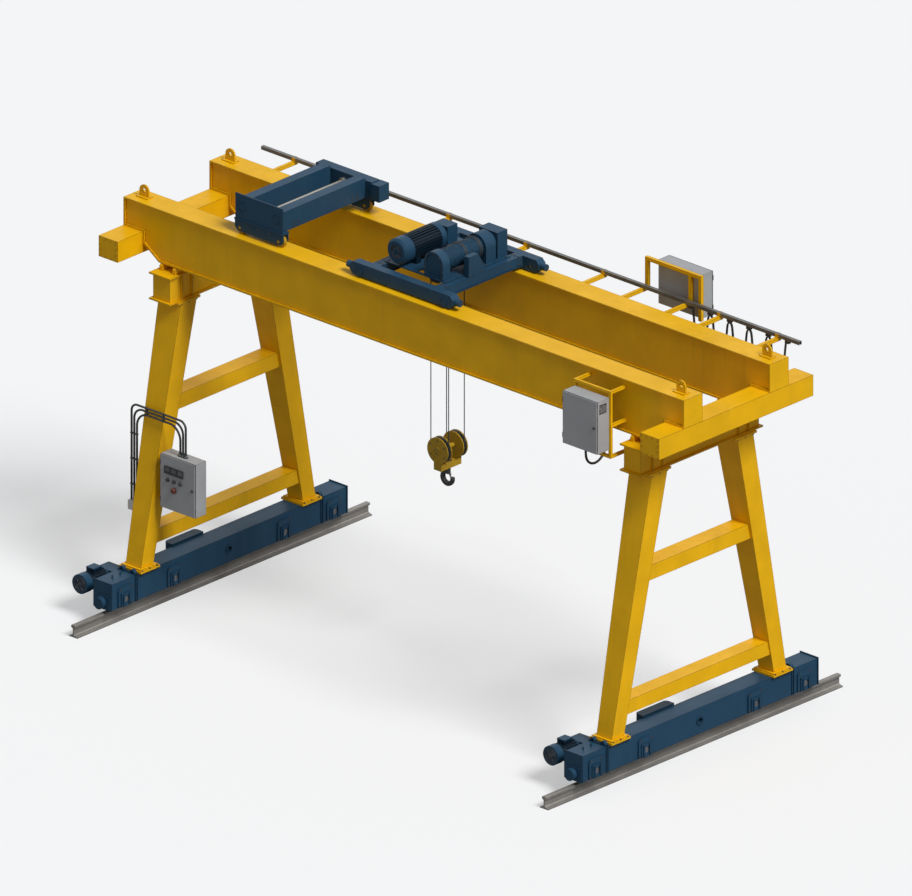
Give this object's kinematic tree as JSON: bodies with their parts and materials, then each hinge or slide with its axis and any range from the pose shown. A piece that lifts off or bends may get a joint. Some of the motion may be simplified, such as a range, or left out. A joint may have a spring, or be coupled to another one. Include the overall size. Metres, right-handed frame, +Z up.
{
  "type": "gantry crane",
  "caption": "Double-girder rail gantry crane with tapered portal legs, hoist crab, auxiliary trolley, festoon supply and control cabinets.",
  "frame": {"origin": "on the rail foot plane, midway between the rails and midway along them", "axes": "+X along the girders, +Y along the rails away from the drive ends, +Z up"},
  "size_m": [10, 5.64, 6.049],
  "materials": {
    "yellow_paint": "gloss",
    "blue_paint": "satin",
    "wheel_steel": "machined tread",
    "ochre_paint": "satin",
    "rail_steel": "mill finish",
    "grey_paint": "powder coat",
    "cable_black": "matt",
    "dark_plastic": "matt",
    "white_plastic": "matt",
    "zinc_steel": "zinc plated",
    "rope_steel": "greased wire",
    "dark_iron": "forged"
  },
  "bodies": {
    "track": {"rails": "rail_steel"},
    "gantry": {"buffers": "blue_paint", "cabinet_cable": "cable_black", "cabinet_front": "grey_paint", "cabinet_front_frame": "yellow_paint", "cabinet_rear": "grey_paint", "cabinet_rear_frame": "yellow_paint", "end_beams": "yellow_paint", "festoon_arms": "yellow_paint", "festoon_cable": "cable_black", "festoon_hangers": "dark_plastic", "festoon_rail": "zinc_steel", "girder_front": "yellow_paint", "girder_gland": "dark_plastic", "girder_rear": "yellow_paint", "lifting_eyes": "yellow_paint", "operator_panel": "grey_paint", "panel_brackets": "yellow_paint", "panel_conduits": "dark_plastic", "panel_plug": "white_plastic", "portal_legs": "yellow_paint", "portal_ties": "yellow_paint", "portal_top_beams": "yellow_paint", "sill_boxes": "blue_paint", "sill_left": "blue_paint", "sill_right": "blue_paint", "travel_gearboxes": "blue_paint", "travel_motors": "blue_paint", "wheel_blocks": "blue_paint"},
    "crab": {"crab_frame": "blue_paint", "crab_deck": "blue_paint", "hoist_motor": "blue_paint", "hoist_gearcase": "blue_paint", "limit_box": "blue_paint", "equaliser": "blue_paint", "ropes_drum": "rope_steel", "ropes_equaliser": "rope_steel"},
    "drum": {"hoist_drum": "blue_paint"},
    "hook_block": {"hook_block": "ochre_paint"},
    "sheaves": {"hook_sheaves": "dark_iron"},
    "hook": {"hook": "dark_iron"},
    "latch": {"hook_latch": "zinc_steel"},
    "crab_axle_left": {"crab_wheels_left": "wheel_steel"},
    "crab_axle_right": {"crab_wheels_right": "wheel_steel"},
    "trolley": {"trolley_bogies": "blue_paint", "trolley_frame": "blue_paint", "trolley_screw": "zinc_steel"},
    "trolley_axle_left": {"trolley_wheels_left": "ochre_paint"},
    "trolley_axle_right": {"trolley_wheels_right": "ochre_paint"},
    "wheel_left_1": {"wheel_left_1": "wheel_steel"},
    "wheel_left_2": {"wheel_left_2": "wheel_steel"},
    "wheel_left_3": {"wheel_left_3": "wheel_steel"},
    "wheel_left_4": {"wheel_left_4": "wheel_steel"},
    "wheel_right_1": {"wheel_right_1": "wheel_steel"},
    "wheel_right_2": {"wheel_right_2": "wheel_steel"},
    "wheel_right_3": {"wheel_right_3": "wheel_steel"},
    "wheel_right_4": {"wheel_right_4": "wheel_steel"}
  },
  "joints": [
    {"name": "gantry_travel", "type": "slide", "parent": "track", "child": "gantry", "axis": [0, 1, 0], "range_m": [-0.4, 0.4]},
    {"name": "wheel_left_1_turn", "type": "hinge", "parent": "gantry", "child": "wheel_left_1", "pos_m": [-4.2, -1.995, 0.3423], "axis": [1, 0, 0], "continuous": true},
    {"name": "wheel_left_2_turn", "type": "hinge", "parent": "gantry", "child": "wheel_left_2", "pos_m": [-4.2, -1.05, 0.3423], "axis": [1, 0, 0], "continuous": true},
    {"name": "wheel_left_3_turn", "type": "hinge", "parent": "gantry", "child": "wheel_left_3", "pos_m": [-4.2, 1.05, 0.3423], "axis": [1, 0, 0], "continuous": true},
    {"name": "wheel_left_4_turn", "type": "hinge", "parent": "gantry", "child": "wheel_left_4", "pos_m": [-4.2, 1.995, 0.3423], "axis": [1, 0, 0], "continuous": true},
    {"name": "wheel_right_1_turn", "type": "hinge", "parent": "gantry", "child": "wheel_right_1", "pos_m": [4.2, -1.995, 0.3423], "axis": [1, 0, 0], "continuous": true},
    {"name": "wheel_right_2_turn", "type": "hinge", "parent": "gantry", "child": "wheel_right_2", "pos_m": [4.2, -1.05, 0.3423], "axis": [1, 0, 0], "continuous": true},
    {"name": "wheel_right_3_turn", "type": "hinge", "parent": "gantry", "child": "wheel_right_3", "pos_m": [4.2, 1.05, 0.3423], "axis": [1, 0, 0], "continuous": true},
    {"name": "wheel_right_4_turn", "type": "hinge", "parent": "gantry", "child": "wheel_right_4", "pos_m": [4.2, 1.995, 0.3423], "axis": [1, 0, 0], "continuous": true},
    {"name": "crab_traverse", "type": "slide", "parent": "gantry", "child": "crab", "axis": [1, 0, 0], "range_m": [-0.6, 3.3]},
    {"name": "crab_axle_left_turn", "type": "hinge", "parent": "crab", "child": "crab_axle_left", "pos_m": [-0.902, 0, 5.5323], "axis": [0, 1, 0], "continuous": true},
    {"name": "crab_axle_right_turn", "type": "hinge", "parent": "crab", "child": "crab_axle_right", "pos_m": [0.602, 0, 5.5323], "axis": [0, 1, 0], "continuous": true},
    {"name": "trolley_traverse", "type": "slide", "parent": "gantry", "child": "trolley", "axis": [1, 0, 0], "range_m": [-1.2, 0.2]},
    {"name": "trolley_axle_left_turn", "type": "hinge", "parent": "trolley", "child": "trolley_axle_left", "pos_m": [-3.045, 0, 5.5373], "axis": [0, 1, 0], "continuous": true},
    {"name": "trolley_axle_right_turn", "type": "hinge", "parent": "trolley", "child": "trolley_axle_right", "pos_m": [-2.355, 0, 5.5373], "axis": [0, 1, 0], "continuous": true},
    {"name": "hoist", "type": "slide", "parent": "crab", "child": "hook_block", "axis": [0, 0, 1], "range_m": [-2.05, 2.05], "deforming": ["ropes_drum", "ropes_equaliser"]},
    {"name": "drum_turn", "type": "hinge", "parent": "crab", "child": "drum", "pos_m": [0.1666, 0, 5.869], "axis": [0, 1, 0], "continuous": true},
    {"name": "sheave_turn", "type": "hinge", "parent": "hook_block", "child": "sheaves", "pos_m": [-0.15, 0, 3], "axis": [0, 1, 0], "continuous": true},
    {"name": "hook_swivel", "type": "hinge", "parent": "hook_block", "child": "hook", "pos_m": [-0.15, 0, 2.81], "axis": [0, 0, 1], "continuous": true},
    {"name": "latch_swing", "type": "hinge", "parent": "hook", "child": "latch", "pos_m": [-0.1067, 0, 2.625], "axis": [0, 1, 0], "range_deg": [0, 40]}
  ],
  "couplings": [
    {"joint": "wheel_left_1_turn", "follows": "gantry_travel", "rad_per_m": -5.8824},
    {"joint": "wheel_left_2_turn", "follows": "gantry_travel", "rad_per_m": -5.8824},
    {"joint": "wheel_left_3_turn", "follows": "gantry_travel", "rad_per_m": -5.8824},
    {"joint": "wheel_left_4_turn", "follows": "gantry_travel", "rad_per_m": -5.8824},
    {"joint": "wheel_right_1_turn", "follows": "gantry_travel", "rad_per_m": -5.8824},
    {"joint": "wheel_right_2_turn", "follows": "gantry_travel", "rad_per_m": -5.8824},
    {"joint": "wheel_right_3_turn", "follows": "gantry_travel", "rad_per_m": -5.8824},
    {"joint": "wheel_right_4_turn", "follows": "gantry_travel", "rad_per_m": -5.8824},
    {"joint": "crab_axle_left_turn", "follows": "crab_traverse", "rad_per_m": 12.5},
    {"joint": "crab_axle_right_turn", "follows": "crab_traverse", "rad_per_m": 12.5},
    {"joint": "trolley_axle_left_turn", "follows": "trolley_traverse", "rad_per_m": 11.765},
    {"joint": "trolley_axle_right_turn", "follows": "trolley_traverse", "rad_per_m": 11.765},
    {"joint": "drum_turn", "follows": "hoist", "rad_per_m": 12.658},
    {"joint": "sheave_turn", "follows": "hoist", "rad_per_m": -6.3291}
  ]
}
